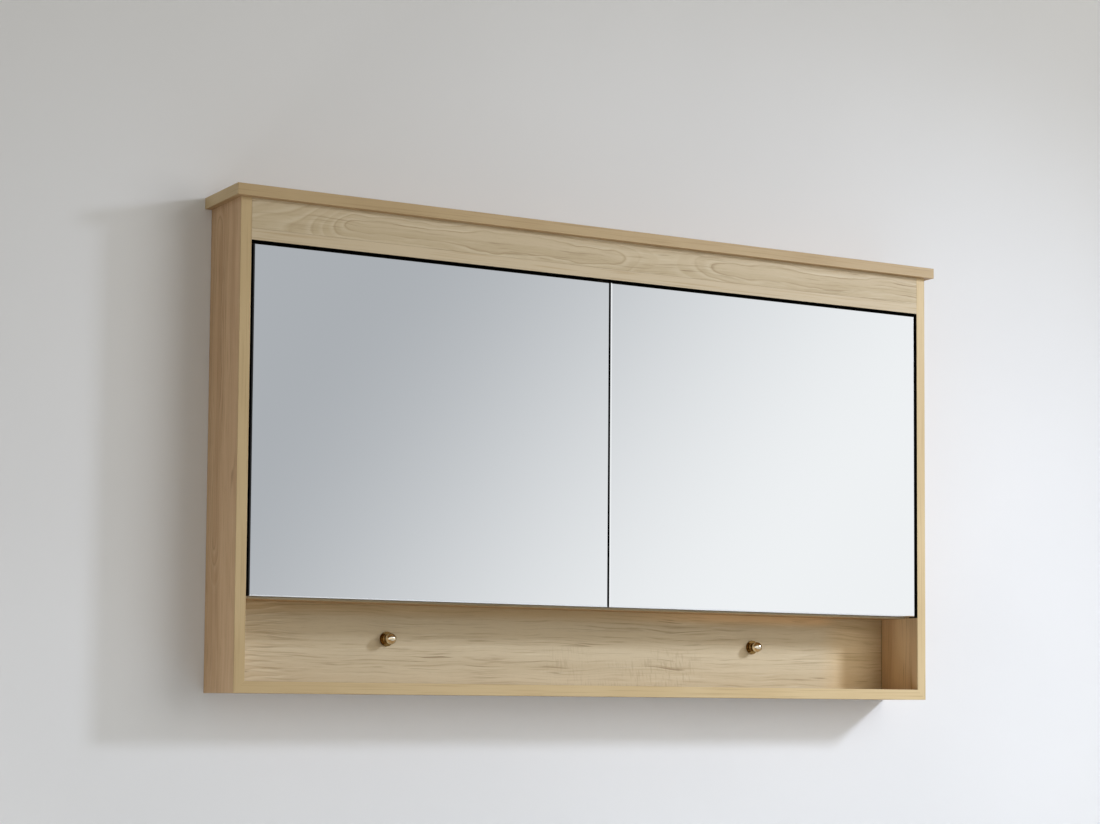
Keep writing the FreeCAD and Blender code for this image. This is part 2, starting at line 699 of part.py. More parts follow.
def make_arm_screw(name, level):
    corners = [
        ("0", "-arm_screw_rise"),
        ("arm_screw_head / 2", "-arm_screw_rise"),
        ("arm_screw_head / 2", "0"),
        ("arm_screw_dia / 2", "0"),
        ("arm_screw_dia / 2", "arm_thick + bridge_height"),
        ("0", "arm_thick + bridge_height"),
    ]
    x = f"{PIVOT_X} + {ARM_BASE} + arm_thick"
    return revolved("arm_screw_" + name, corners, TO_LEFT, x, f"{PIVOT_Y} + {PLATE_Y}", level)


def make_left_hinges():
    kinds = ("cups", "pins", "cup_screws", "arms", "arm_screws", "plates", "plate_screws")
    pieces = {kind: [] for kind in kinds}
    for name, level in HINGE_LEVELS.items():
        pin = make_hinge_pin(name, level)
        cup_screws = make_cup_screws(name, level)
        plate_screws = make_plate_screws(name, level)
        arm_screw = make_arm_screw(name, level)
        pieces["pins"].append(pin)
        pieces["cup_screws"] += cup_screws
        pieces["plate_screws"] += plate_screws
        pieces["arm_screws"].append(arm_screw)
        pieces["cups"].append(make_cup(name, level, [pin] + cup_screws))
        pieces["arms"].append(make_arm(name, level, arm_screw))
        pieces["plates"].append(make_plate(name, level, plate_screws + [arm_screw]))
    return {kind: grouped(f"hinge_{kind}_left", items) for kind, items in pieces.items()}


# Glass shelves and their pegs.

def make_glass_shelf(name, level):
    x = f"-{INNER_HALF} + shelf_play"
    width = f"{INNER_HALF} - board / 2 - 2 * shelf_play"
    depth = f"{GLASS_BACK} - {GLASS_FRONT}"
    z = f"{level} + peg_dia / 2"
    body = slab(f"glass_shelf_left_{name}", x, z, width, "shelf_thick", GLASS_BACK, depth)
    front = -number(depth)
    soften(body, "Chamfer", "shelf_bevel", lambda edge: on_front(edge, front) and runs_along(edge, X_AXIS))
    return body


def make_peg(label, x, y, z, turn):
    shank = "peg_dia / 2"
    collar = "peg_collar_dia / 2"
    corners = [
        ("0", "-peg_sink"), (shank, "-peg_sink"), (shank, "0"), (collar, "0"),
        (collar, "peg_collar"), (shank, "peg_collar"), (shank, "peg_reach"), ("0", "peg_reach"),
    ]
    return revolved(label, corners, turn, x, y, z)


def make_left_pegs():
    pegs = []
    for name, z in SHELF_LEVELS.items():
        for end, y in (("front", PEG_FRONT), ("back", PEG_BACK)):
            pegs.append(make_peg(f"peg_side_{name}_{end}", f"-{INNER_HALF}", y, z, TO_RIGHT))
            pegs.append(make_peg(f"peg_divider_{name}_{end}", "-board / 2", y, z, TO_LEFT))
    return grouped("shelf_pegs_left", pegs)


# Hooks in the niche.

def make_hook_screw():
    tip = "board + hook_screw_grip"
    corners = [
        ("0", "0"), ("hook_screw_head / 2", "0"), ("hook_screw_head / 2", "hook_screw_sink"),
        ("hook_screw_dia / 2", "hook_screw_sink"), ("hook_screw_dia / 2", tip), ("0", tip),
    ]
    level = f"{NICHE_FLOOR} + hook_height"
    return revolved("hook_screw_left", corners, TO_FRONT, "-hook_span / 2", "0", level)


def make_hook(screw):
    # A round base, a cove up to the neck and a ball, turned about one axis.
    neck = "hook_neck_dia / 2"
    cove_end = f"{neck} + hook_cove"
    ball = "hook_ball_dia / 2"
    meeting = f"hook_reach - sqrt(({ball}) ^ 2 - ({neck}) ^ 2)"
    cove_top = "hook_base + hook_cove"
    cove_foot = (cove_end, "hook_base")
    corners = [
        ("0", "0"),
        ("hook_base_dia / 2", "0"),
        ("hook_base_dia / 2", "hook_base"),
        cove_foot,
        (neck, cove_top),
        (neck, meeting),
        ("0", f"hook_reach + {ball}"),
    ]
    arcs = {
        cove_foot: {"centre": (cove_end, cove_top), "radius": "hook_cove", "clockwise": True},
        (neck, meeting): {"centre": ("0", "hook_reach"), "radius": ball, "clockwise": False},
    }
    level = f"{NICHE_FLOOR} + hook_height"
    blank = revolved("hook_left_blank", corners, TO_FRONT, "-hook_span / 2", "-board", level, arcs)
    return drilled("hook_left", blank, [screw])


# Assembly.

def both_sides(name, left):
    return [left, mirrored(name + "_right", left)]


def build_carcass(left_dowels, hinges, hook_screws):
    dowels = grouped("carcass_dowels", both_sides("dowels", left_dowels) + [make_divider_dowels()])
    side = drilled("side_left", make_side_blank(), [left_dowels, hinges["plate_screws"]])
    blanks = {
        "niche_shelf": make_niche_shelf_blank(),
        "compartment_top": make_top_blank(),
        "centre_divider": make_divider_blank(),
        "frieze_board": make_frieze_blank(),
        "cornice_board": make_cornice_blank(),
        "hanging_rail_lower": make_rail_blank("hanging_rail_lower_blank", BAY_FLOOR),
        "hanging_rail_upper": make_rail_blank("hanging_rail_upper_blank", f"{BAY_TOP} - rail_height"),
    }
    boards = [drilled(label, blank, [dowels]) for label, blank in blanks.items()]
    niche_back = drilled("niche_back", make_niche_back_blank(), [dowels, hook_screws])
    bottom = mitred_bottom("bottom_board", "0", "carcass_depth - band")
    bands = both_sides("edge_band", make_side_band())
    bands += [make_bottom_band(), make_top_band(), make_cornice_bands()]
    return both_sides("side", side) + boards + [bottom, niche_back, make_back_panel(), dowels] + bands


def build_doors(hinges):
    board = drilled("door_board_left", make_door_blank(), [hinges["cup_screws"]])
    pieces = both_sides("door_board", board)
    pieces += both_sides("mirror", make_mirror())
    pieces += both_sides("door_bumpers", make_bumpers())
    return pieces


def build_hinges(hinges):
    pieces = []
    for kind, left in hinges.items():
        pieces += both_sides("hinge_" + kind, left)
    return pieces


def build_shelves():
    pieces = []
    for name, level in SHELF_LEVELS.items():
        left = make_glass_shelf(name, level)
        pieces += [left, mirrored(f"glass_shelf_right_{name}", left)]
    pegs = grouped("shelf_pegs", both_sides("shelf_pegs", make_left_pegs()))
    return pieces + [pegs]


def build_hooks(hook_screw, hook_screws):
    return both_sides("hook", make_hook(hook_screw)) + [hook_screws]


def build_cabinet():
    hinges = make_left_hinges()
    hook_screw = make_hook_screw()
    hook_screws = grouped("hook_screws", both_sides("hook_screw", hook_screw))
    pieces = build_carcass(make_left_dowels(), hinges, hook_screws)
    pieces += build_doors(hinges)
    pieces += build_hinges(hinges)
    pieces += build_shelves()
    pieces += build_hooks(hook_screw, hook_screws)
    doc.recompute()
    return pieces


def check_document(pieces):
    for item in doc.Objects:
        if "Invalid" in item.State or "Error" in item.State:
            raise RuntimeError(f"{item.Label} did not build: {item.State}")
    for piece in pieces:
        if piece.Shape.isNull() or not piece.Shape.isValid():
            raise RuntimeError(f"{piece.Label} has no valid shape")


def write_pieces(pieces):
    os.makedirs("parts", exist_ok=True)
    for piece in pieces:
        piece.Shape.exportStep(f"parts/{piece.Label}.step")
        box = piece.Shape.BoundBox
        sizes = f"{box.XLength:.1f} x {box.YLength:.1f} x {box.ZLength:.1f} mm"
        print(f"{piece.Label}: {len(piece.Shape.Solids)} solid(s), {sizes}")


cabinet = build_cabinet()
check_document(cabinet)
write_pieces(cabinet)
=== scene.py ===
import json
import math

import bmesh
import bpy
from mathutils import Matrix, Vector


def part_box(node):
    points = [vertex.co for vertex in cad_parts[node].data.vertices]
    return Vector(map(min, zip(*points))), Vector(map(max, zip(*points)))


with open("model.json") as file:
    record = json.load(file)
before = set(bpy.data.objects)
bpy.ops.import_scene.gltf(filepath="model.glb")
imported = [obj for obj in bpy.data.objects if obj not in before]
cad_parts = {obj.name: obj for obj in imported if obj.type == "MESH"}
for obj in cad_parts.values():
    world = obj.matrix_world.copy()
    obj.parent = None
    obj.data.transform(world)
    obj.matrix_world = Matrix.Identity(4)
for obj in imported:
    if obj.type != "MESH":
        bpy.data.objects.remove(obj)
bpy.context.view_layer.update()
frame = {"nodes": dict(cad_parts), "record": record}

# Oak mirror cabinet on a wall: a finish for every board and fitting, the backdrop,
# the lamps and the camera. Metres throughout.

nodes = frame["nodes"]
scene = bpy.context.scene
scene.view_settings.view_transform = "Standard"
millimetre = 0.001
print("frame loaded, %d nodes" % len(nodes))


# small helpers for shader nodes

def linear(level):
    level = level / 255
    return level / 12.92 if level <= 0.04045 else ((level + 0.055) / 1.055) ** 2.4


def tone(red, green, blue):  # screen colour to the value a shader takes
    return (linear(red), linear(green), linear(blue), 1)


def newFinish(name):
    finish = bpy.data.materials.new(name)
    finish.use_nodes = True
    finish.node_tree.nodes.clear()
    return finish, finish.node_tree


def plug(tree, socket, value):  # a socket is linked, anything else is set
    if isinstance(value, bpy.types.NodeSocket):
        tree.links.new(value, socket)
    else:
        socket.default_value = value


def add(tree, kind, inputs=None, **settings):
    node = tree.nodes.new("ShaderNode" + kind)
    for name, value in settings.items():
        setattr(node, name, value)
    for name, value in (inputs or {}).items():
        plug(tree, node.inputs[name], value)
    return node


def calc(tree, operation, *values):
    return add(tree, "Math", dict(enumerate(values)), operation=operation).outputs[0]


def times(tree, first, *others):
    for other in others:
        first = calc(tree, "MULTIPLY", first, other)
    return first


def inverted(tree, value):  # what is left of one
    return calc(tree, "SUBTRACT", 1, value)


def absolute(tree, value):  # the same on the left and on the right
    return calc(tree, "ABSOLUTE", value)


def rise(tree, value, low, high, bottom=0, top=1):  # soft step from bottom to top
    ends = {"Value": value, "From Min": low, "From Max": high, "To Min": bottom, "To Max": top}
    return add(tree, "MapRange", ends, interpolation_type="SMOOTHSTEP").outputs[0]


def above(tree, value, edge, blur):  # one past the edge, nothing before it
    return rise(tree, value, edge - blur, edge + blur)


def below(tree, value, edge, blur):
    return rise(tree, value, edge + blur, edge - blur)


def mixTone(tree, amount, first, second, blend="MIX"):
    node = add(tree, "Mix", data_type="RGBA", blend_type=blend)
    for index, value in ((0, amount), (6, first), (7, second)):
        plug(tree, node.inputs[index], value)
    return node.outputs[2]


def noise(tree, vector, scale=1, detail=2, roughness=0.5):
    inputs = {"Vector": vector, "Scale": scale, "Detail": detail, "Roughness": roughness}
    return add(tree, "TexNoise", inputs).outputs[0]


def pieceVector(tree):  # place on the piece itself, so a finish rides along with it
    return add(tree, "TexCoord").outputs["Object"]


def split(tree, vector):
    return add(tree, "SeparateXYZ", {"Vector": vector}).outputs


def pieceNormal(tree):
    return split(tree, add(tree, "TexCoord").outputs["Normal"])


def bump(tree, height, strength, distance):
    inputs = {"Height": height, "Strength": strength, "Distance": distance}
    return add(tree, "Bump", inputs).outputs[0]


def principled(tree, inputs):
    shader = add(tree, "BsdfPrincipled", inputs)
    add(tree, "OutputMaterial", {"Surface": shader.outputs[0]})


# oak laminate: flat-sawn loops round a slowly bending pith, streaks, pores and saw marks

levelOak = {
    "pale": tone(194, 177, 146),
    "mid": tone(184, 166, 134),
    "ring": tone(153, 131, 98),
    "streak": tone(140, 118, 86),
    "bright": tone(211, 198, 170),
    "pore": tone(124, 101, 70),
    "flat": tone(204, 166, 120),  # painted light: a warmer tone on faces turned up
    "under": tone(158, 120, 76),  # painted shade: darker brown on faces turned down
    "niche": (1.17, 1.22, 1.28, 1),  # painted light: the boards of the niche are made paler, standing in for light the lamps do not bring in there
    "warmShade": (1.04, 0.95, 0.82, 1),  # painted shade: warmer and darker under the shelf and at the right end of the niche
    "warmLightRight": (1.40, 1.18, 0.96, 1),  # painted light: redder and lighter under the right half of the shelf, in the shade there
    "arcs": {"from": 0.22, "rise": 0.16, "sink": 0.13},  # the figure at the left end of the frieze
    "veins": 0.2,
    "axes": "XZY",  # along, across and into the board
    "pith": (-0.205, 0.272, -0.108),
}
uprightOak = {
    "pale": tone(202, 170, 133),
    "mid": tone(187, 153, 117),
    "ring": tone(155, 122, 88),
    "streak": tone(147, 114, 80),
    "bright": tone(214, 188, 153),
    "pore": tone(134, 102, 70),
    # painted light on faces turned up, painted shade on faces turned down
    "flat": tone(204, 166, 120),
    "under": tone(158, 120, 76),
    # painted light: the niche's boards made paler, standing in for light the lamps do not bring in there
    "niche": (1.42, 1.54, 1.58, 1),
    "arcs": {"from": 1, "rise": 0, "sink": 0},
    "veins": 0.6,
    "axes": "ZYX",
    "pith": (0.05, -0.030, -0.59),
}
# each mark's length and width, its noise, and the levels between which it comes up
grain = {
    "wave": {"size": (0.16, 0.08), "detail": 2, "reach": 0.020},
    "band": {"size": (0.9, 0.026), "detail": 3, "mid": (0.34, 0.66)},
    "streaks": {
        "size": (0.11, 0.0034),
        "detail": 3,
        "roughness": 0.62,
        "dark": (0.52, 0.70),
        "light": (0.44, 0.28),
        "sheen": (0.30, 0.70, 0.46, 0.58),
    },
    "hairs": {"size": (0.09, 0.0026), "detail": 1, "full": (0.68, 0.76)},
    "fibre": {"size": (0.018, 0.0005), "detail": 2, "pores": (0.56, 0.74)},
    "patches": {"size": (0.20, 0.05), "detail": 1, "streaky": (0.36, 0.60, 0.4, 1), "sawn": (0.36, 0.52)},
    "cuts": {"size": (0.0030, 0.018), "detail": 1, "slant": 0.15, "full": (0.50, 0.68)},
    "veins": {"size": (1.7, 0.030), "detail": 1, "count": 11, "in": (0.88, 0.97), "out": (1.0, 0.97)},
    "lengths": {"size": (0.13, 0.018), "detail": 1, "full": (0.46, 0.62)},
    "drift": {"size": (0.26, 0.10), "detail": 2, "reach": 0.030},
    "sway": {"size": (0.11, 0.05), "detail": 3, "reach": 0.024, "broken": (0.36, 0.58, 0.25, 1)},
}
loops = {
    "length": 0.60,
    "power": 8,
    "swing": 0.030,
    "step": 0.0085,
    "first": 0.0025,
    "lineIn": (0.74, 0.95),  # share of a step
    "lineOut": (1.0, 0.95),
    "paleIn": (0, 0.12),
    "paleOut": (0.60, 0.14),
    "heart": (0.0054, 0.009),  # no ring nearer to the pith
    "lineFade": (0.030, 0.009),
    "paleFade": (0.060, 0.009),
    "arcIn": (0.03, 0.07),
    "arcLine": 0.4,
}
sawMarks = {"X": ((-0.08, -0.02), (0.24, 0.18)), "Z": ((-0.300, -0.318),)}  # where the cuts come up
oakLayers = (  # mark, how strong, which tone
    ("halos", 0.42, "bright"),
    ("rings", 0.65, "ring"),
    ("dark", 0.48, "streak"),
    ("light", 0.42, "bright"),
    ("hair", 0.70, "pore"),
    ("pores", 0.20, "pore"),
    ("vein", 1, "pore"),
    ("sawn", 0.24, "streak"),
)
turned = {"up": (0.6, 0.8), "down": (-0.6, -0.8), "front": (-0.5, -0.8), "rear": (0.80, 0.95)}
oakCoat = {
    "flatPart": 0.6,  # how far the painted tones of turned faces cover the grain: light on top, shade underneath
    "underPart": 0.75,
    "dust": 0.3,  # added roughness on top and on raw faces
    "lift": 0.4,
    "relief": (0.35, 0.00025),
    "shine": 0.2,
}


def stretched(tree, along, across, into, length, width):  # noise space for marks of that size
    parts = [calc(tree, "DIVIDE", along, length), calc(tree, "DIVIDE", across, width)]
    parts.append(calc(tree, "DIVIDE", into, width))
    return add(tree, "CombineXYZ", dict(zip("XYZ", parts))).outputs[0]


def marks(tree, board, name):
    mark = grain[name]
    vector = stretched(tree, *board, *mark["size"])
    return noise(tree, vector, detail=mark["detail"], roughness=mark.get("roughness", 0.5))


def comesUp(tree, value, name, level):
    return rise(tree, value, *grain[name][level])


def wander(tree, value, name):  # metres to either side
    reach = grain[name]["reach"]
    return calc(tree, "MULTIPLY_ADD", value, reach, -reach / 2)


def grainSpace(tree, place, look):  # metres from the pith along, across and into the board
    starts = zip(look["axes"], look["pith"])
    board = [calc(tree, "SUBTRACT", place[axis], start) for axis, start in starts]
    board[1] = calc(tree, "ADD", board[1], wander(tree, marks(tree, board, "wave"), "wave"))
    return board


def oakLoops(tree, board, arcs):
    along, across, into = board
    sway = marks(tree, board, "sway")
    held = calc(tree, "MAXIMUM", along, -loops["length"] / 2)
    turn = times(tree, held, 2 * math.pi / loops["length"])
    lift = calc(tree, "MULTIPLY_ADD", calc(tree, "COSINE", turn), -0.5, 0.5)
    past = calc(tree, "MAXIMUM", calc(tree, "SUBTRACT", -arcs["from"], along), 0)
    swing = times(tree, calc(tree, "POWER", lift, loops["power"]), loops["swing"])
    swing = calc(tree, "MULTIPLY_ADD", past, arcs["rise"], swing)
    drift = wander(tree, marks(tree, board, "drift"), "drift")
    deep = calc(tree, "ADD", calc(tree, "ADD", swing, into), drift)
    wide = calc(tree, "ADD", across, wander(tree, sway, "sway"))
    wide = calc(tree, "MULTIPLY_ADD", past, arcs["sink"], wide)
    squares = calc(tree, "ADD", calc(tree, "POWER", deep, 2), calc(tree, "POWER", wide, 2))
    radius = calc(tree, "SQRT", squares)
    share = calc(tree, "DIVIDE", calc(tree, "SUBTRACT", radius, loops["first"]), loops["step"])
    share = calc(tree, "FRACT", share)
    line = times(tree, rise(tree, share, *loops["lineIn"]), rise(tree, share, *loops["lineOut"]))
    pale = times(tree, rise(tree, share, *loops["paleIn"]), rise(tree, share, *loops["paleOut"]))
    broken = times(tree, rise(tree, radius, *loops["heart"]), comesUp(tree, sway, "sway", "broken"))
    arcLine = rise(tree, past, *loops["arcIn"], 0, loops["arcLine"])
    arcPale = rise(tree, past, *loops["arcIn"])
    nearLine = calc(tree, "MAXIMUM", rise(tree, radius, *loops["lineFade"]), arcLine)
    nearPale = calc(tree, "MAXIMUM", rise(tree, radius, *loops["paleFade"]), arcPale)
    return times(tree, line, nearLine, broken), times(tree, pale, nearPale, broken)


# the frame's faces that the gaps round the doors show, painted dark as shade, and the inside of the
# niche, with its painted light and shade

doorway = {
    "shade": tone(20, 18, 16),
    "half": 0.5745,
    "low": -0.2515,
    "high": 0.2370,
    "deep": -0.0870,
    "facing": (-0.6, -0.4),  # not the faces that look out of the frame
    "blur": 0.0002,
    "deepBlur": 0.0005,
}
# the inside of the niche: where its painted light and shade lie, and how strong its veins are
nicheRoom = {
    "half": 0.5745,
    "top": -0.2520,
    "shaded": (-0.275, -0.257),
    "farEnd": (0.44, 0.50),
    "redder": (0.05, 0.28),
    # where the painted shade line in the niche's back corners begins, and how dark it is
    "shadedCorner": 0.5728,
    "shadedCornerPart": 0.75,
    "veins": 0.8,
    "blur": 0.0002,
    "topBlur": 0.0003,
    "shadedCornerBlur": 0.0005,
}


def inDoorway(tree, place, normal, look):
    side = below(tree, absolute(tree, place["X"]), look["half"], look["blur"])
    over = above(tree, place["Z"], look["low"], look["blur"])
    under = below(tree, place["Z"], look["high"], look["blur"])
    front = below(tree, place["Y"], look["deep"], look["deepBlur"])
    return times(tree, side, over, under, front, rise(tree, normal["Y"], *look["facing"]))


def inNiche(tree, place, look):
    side = below(tree, absolute(tree, place["X"]), look["half"], look["blur"])
    return times(tree, side, below(tree, place["Z"], look["top"], look["topBlur"]))


# painted light and shade in the niche: warm shade under the shelf and at the right end, redder light
# under the right half of the shelf
def paintNicheLightAndShade(tree, colour, place, niche, look):
    farEnd = rise(tree, place["X"], *nicheRoom["farEnd"])
    underShelf = rise(tree, place["Z"], *nicheRoom["shaded"])
    redder = calc(tree, "SUBTRACT", rise(tree, place["X"], *nicheRoom["redder"]), farEnd)
    paintedTint = mixTone(tree, times(tree, redder, underShelf), look["warmShade"], look["warmLightRight"])
    shaded = times(tree, niche, calc(tree, "MAXIMUM", underShelf, farEnd))
    return mixTone(tree, shaded, colour, paintedTint, "MULTIPLY")


# chipboard on the faces against the wall and in the hanging rails

rawBoard = {
    "chip": tone(168, 132, 92),
    "dust": tone(112, 80, 50),
    "pale": tone(205, 176, 134),
    "grain": 420,
}
chipDust = {"grain": 260, "detail": 3, "full": (0.52, 0.70)}


def chipFace(tree, vector, look):
    flakes = add(tree, "TexVoronoi", {"Vector": vector, "Scale": look["grain"]}).outputs["Color"]
    flake = add(tree, "SeparateColor", {"Color": flakes}).outputs[0]
    body = mixTone(tree, flake, look["chip"], look["pale"])
    dust = noise(tree, vector, chipDust["grain"], chipDust["detail"])
    return mixTone(tree, rise(tree, dust, *chipDust["full"]), body, look["dust"])


def oakMarks(tree, board, place, niche, look):
    along, across, into = board
    streaks = marks(tree, board, "streaks")
    patches = marks(tree, board, "patches")
    streaky = comesUp(tree, patches, "patches", "streaky")
    drawn = {"sheen": comesUp(tree, streaks, "streaks", "sheen")}
    drawn["rings"], drawn["halos"] = oakLoops(tree, board, look["arcs"])
    drawn["dark"] = times(tree, comesUp(tree, streaks, "streaks", "dark"), streaky)
    drawn["light"] = times(tree, comesUp(tree, streaks, "streaks", "light"), streaky)
    drawn["hair"] = times(tree, comesUp(tree, marks(tree, board, "hairs"), "hairs", "full"), streaky)
    drawn["pores"] = comesUp(tree, marks(tree, board, "fibre"), "fibre", "pores")

    veins = times(tree, marks(tree, board, "veins"), grain["veins"]["count"])
    veins = calc(tree, "FRACT", veins)
    vein = times(tree, comesUp(tree, veins, "veins", "in"), comesUp(tree, veins, "veins", "out"))
    strong = rise(tree, niche, 0, 1, look["veins"], nicheRoom["veins"])
    lengths = comesUp(tree, marks(tree, board, "lengths"), "lengths", "full")
    drawn["vein"] = times(tree, vein, streaky, strong, lengths)

    slanted = calc(tree, "MULTIPLY_ADD", across, grain["cuts"]["slant"], along)
    cuts = comesUp(tree, marks(tree, (slanted, across, into), "cuts"), "cuts", "full")
    sawn = times(tree, cuts, comesUp(tree, patches, "patches", "sawn"))
    for axis, stretches in sawMarks.items():
        for stretch in stretches:
            sawn = times(tree, sawn, rise(tree, place[axis], *stretch))
    drawn["sawn"] = sawn
    return drawn


def makeOak(name, look):
    finish, tree = newFinish(name)
    vector = pieceVector(tree)
    place = split(tree, vector)
    normal = pieceNormal(tree)
    board = grainSpace(tree, place, look)
    niche = inNiche(tree, place, nicheRoom)
    drawn = oakMarks(tree, board, place, niche, look)
    band = comesUp(tree, marks(tree, board, "band"), "band", "mid")
    colour = mixTone(tree, band, look["pale"], look["mid"])
    for mark, amount, shade in oakLayers:
        colour = mixTone(tree, times(tree, drawn[mark], amount), colour, look[shade])

    # painted light: a warmer tone on faces turned up
    flat = rise(tree, normal["Z"], *turned["up"], 0, oakCoat["flatPart"])
    colour = mixTone(tree, flat, colour, look["flat"])
    # painted light: paler boards inside the niche
    colour = mixTone(tree, niche, colour, look["niche"], "MULTIPLY")
    # painted light and shade inside the niche
    if "warmShade" in look:
        colour = paintNicheLightAndShade(tree, colour, place, niche, look)
    # painted shade: a dark line along the niche's back corners
    facing = rise(tree, normal["Y"], *turned["front"], 0, nicheRoom["shadedCornerPart"])
    ends = above(tree, absolute(tree, place["X"]), nicheRoom["shadedCorner"], nicheRoom["shadedCornerBlur"])
    colour = mixTone(tree, times(tree, niche, facing, ends), colour, look["pore"])
    # painted shade: darker brown on faces turned down
    under = rise(tree, normal["Z"], *turned["down"], 0, oakCoat["underPart"])
    colour = mixTone(tree, under, colour, look["under"])
    rear = rise(tree, normal["Y"], *turned["rear"])
    colour = mixTone(tree, rear, colour, chipFace(tree, vector, rawBoard))
    # painted shade on the frame's faces in the gaps round the doors
    colour = mixTone(tree, inDoorway(tree, place, normal, doorway), colour, doorway["shade"])

    dusty = calc(tree, "MAXIMUM", rear, rise(tree, normal["Z"], *turned["up"]))
    rough = calc(tree, "ADD", drawn["sheen"], times(tree, dusty, oakCoat["dust"]))
    sunk = calc(tree, "ADD", drawn["pores"], drawn["hair"])
    height = calc(tree, "SUBTRACT", times(tree, drawn["light"], oakCoat["lift"]), sunk)
    principled(tree, {
        "Base Color": colour,
        "Roughness": rough,
        "Normal": bump(tree, height, *oakCoat["relief"]),
        "Specular IOR Level": oakCoat["shine"],
    })
    return finish


edgeTape = {
    "pale": tone(194, 171, 131),
    "mid": tone(188, 164, 123),
    "line": tone(166, 141, 102),
    "cornice": (0.85, 0.82, 0.80, 1),  # the cornice is darker along the front
    "corniceFront": (0.8, 0.5),
    "leftPaintedLight": (0.96, 0.95, 0.93, 1),  # painted light: the banding is made paler from left to right, as more light falls on the right
    "rightPaintedLight": (1.13, 1.15, 1.16, 1),
    "paintedLightSpan": (-0.55, 0.60),
    "stripPale": tone(194, 177, 147),  # the strip under the frieze is close to the boards
    "stripPart": 0.95,
    "stripFoot": (0.2360, 0.2365),
    "stripTop": (0.2530, 0.2525),
    "inner": 0.574,
    "mitre": 0.2085,
    "corniceUnder": 0.2945,
    "blur": 0.0002,
    "fibre": (0.14, 0.0024),
    "fibreDetail": 3,
    "fibreLine": (0.50, 0.70, 0, 0.5),
    "cloudGrain": 5,
    "clouds": (0.36, 0.64),
    "rough": (0.3, 0.7, 0.44, 0.54),
    "relief": (0.15, 0.0002),
    "shine": 0.2,
}


def makeEdgeTape(name, look):  # plain edge banding whose fibres run along each edge
    finish, tree = newFinish(name)
    vector = pieceVector(tree)
    place = split(tree, vector)
    normal = pieceNormal(tree)
    side = absolute(tree, place["X"])
    outer = above(tree, side, look["inner"], look["blur"])
    over = above(tree, calc(tree, "ADD", side, place["Z"]), look["mitre"], look["blur"])
    crown = above(tree, place["Z"], look["corniceUnder"], look["blur"])
    standing = times(tree, outer, over, inverted(tree, crown))
    girth = calc(tree, "ADD", place["X"], place["Y"])  # runs on past the corners of the cornice
    lyingSpace = stretched(tree, girth, place["Z"], 0, *look["fibre"])
    uprightSpace = stretched(tree, place["Z"], girth, 0, *look["fibre"])
    lying = noise(tree, lyingSpace, detail=look["fibreDetail"])
    upright = noise(tree, uprightSpace, detail=look["fibreDetail"])
    fibre = add(tree, "Mix", {"Factor": standing, 2: lying, 3: upright}).outputs[0]
    foot = rise(tree, place["Z"], *look["stripFoot"])
    strip = times(tree, foot, rise(tree, place["Z"], *look["stripTop"]), inverted(tree, outer))

    cloud = noise(tree, vector, look["cloudGrain"])
    colour = mixTone(tree, rise(tree, cloud, *look["clouds"]), look["pale"], look["mid"])
    colour = mixTone(tree, times(tree, strip, look["stripPart"]), colour, look["stripPale"])
    colour = mixTone(tree, rise(tree, fibre, *look["fibreLine"]), colour, look["line"])
    # painted light: paler towards the right
    paintedLight = mixTone(tree, rise(tree, place["X"], *look["paintedLightSpan"]), look["leftPaintedLight"], look["rightPaintedLight"])
    frameOnly = times(tree, inverted(tree, crown), inverted(tree, strip))
    colour = mixTone(tree, frameOnly, colour, paintedLight, "MULTIPLY")
    front = times(tree, crown, rise(tree, absolute(tree, normal["X"]), *look["corniceFront"]))
    colour = mixTone(tree, front, colour, look["cornice"], "MULTIPLY")
    # painted shade on the frame's faces in the gaps round the doors
    colour = mixTone(tree, inDoorway(tree, place, normal, doorway), colour, doorway["shade"])
    principled(tree, {
        "Base Color": colour,
        "Roughness": rise(tree, fibre, *look["rough"]),
        "Normal": bump(tree, fibre, *look["relief"]),
        "Specular IOR Level": look["shine"],
    })
    return finish


# hidden timber

railTimber = {
    "chip": tone(190, 158, 116),
    "dust": tone(140, 106, 70),
    "pale": tone(216, 190, 150),
    "grain": 380,
    "pitGrain": 700,
    "pitDetail": 3,
    "relief": (0.3, 0.0004),
    "wearGrain": 90,
    "rough": (0.3, 0.7, 0.7, 0.9),
}
dowelBeech = {
    "pale": tone(214, 178, 132),
    "dark": tone(176, 132, 88),
    "fleckGrain": 900,
    "fleckDetail": 3,
    "flecks": (0.4, 0.65),
    "rough": 0.7,
    "relief": (0.2, 0.0003),
}


def makeRailTimber(name, look):
    finish, tree = newFinish(name)
    vector = pieceVector(tree)
    pits = noise(tree, vector, look["pitGrain"], look["pitDetail"])
    principled(tree, {
        "Base Color": chipFace(tree, vector, look),
        "Roughness": rise(tree, noise(tree, vector, look["wearGrain"]), *look["rough"]),
        "Normal": bump(tree, pits, *look["relief"]),
    })
    return finish


def makeBeech(name, look):
    finish, tree = newFinish(name)
    flecks = noise(tree, pieceVector(tree), look["fleckGrain"], look["fleckDetail"])
    principled(tree, {
        "Base Color": mixTone(tree, rise(tree, flecks, *look["flecks"]), look["pale"], look["dark"]),
        "Roughness": look["rough"],
        "Normal": bump(tree, flecks, *look["relief"]),
    })
    return finish


# mirror panes, white doors, glass shelves

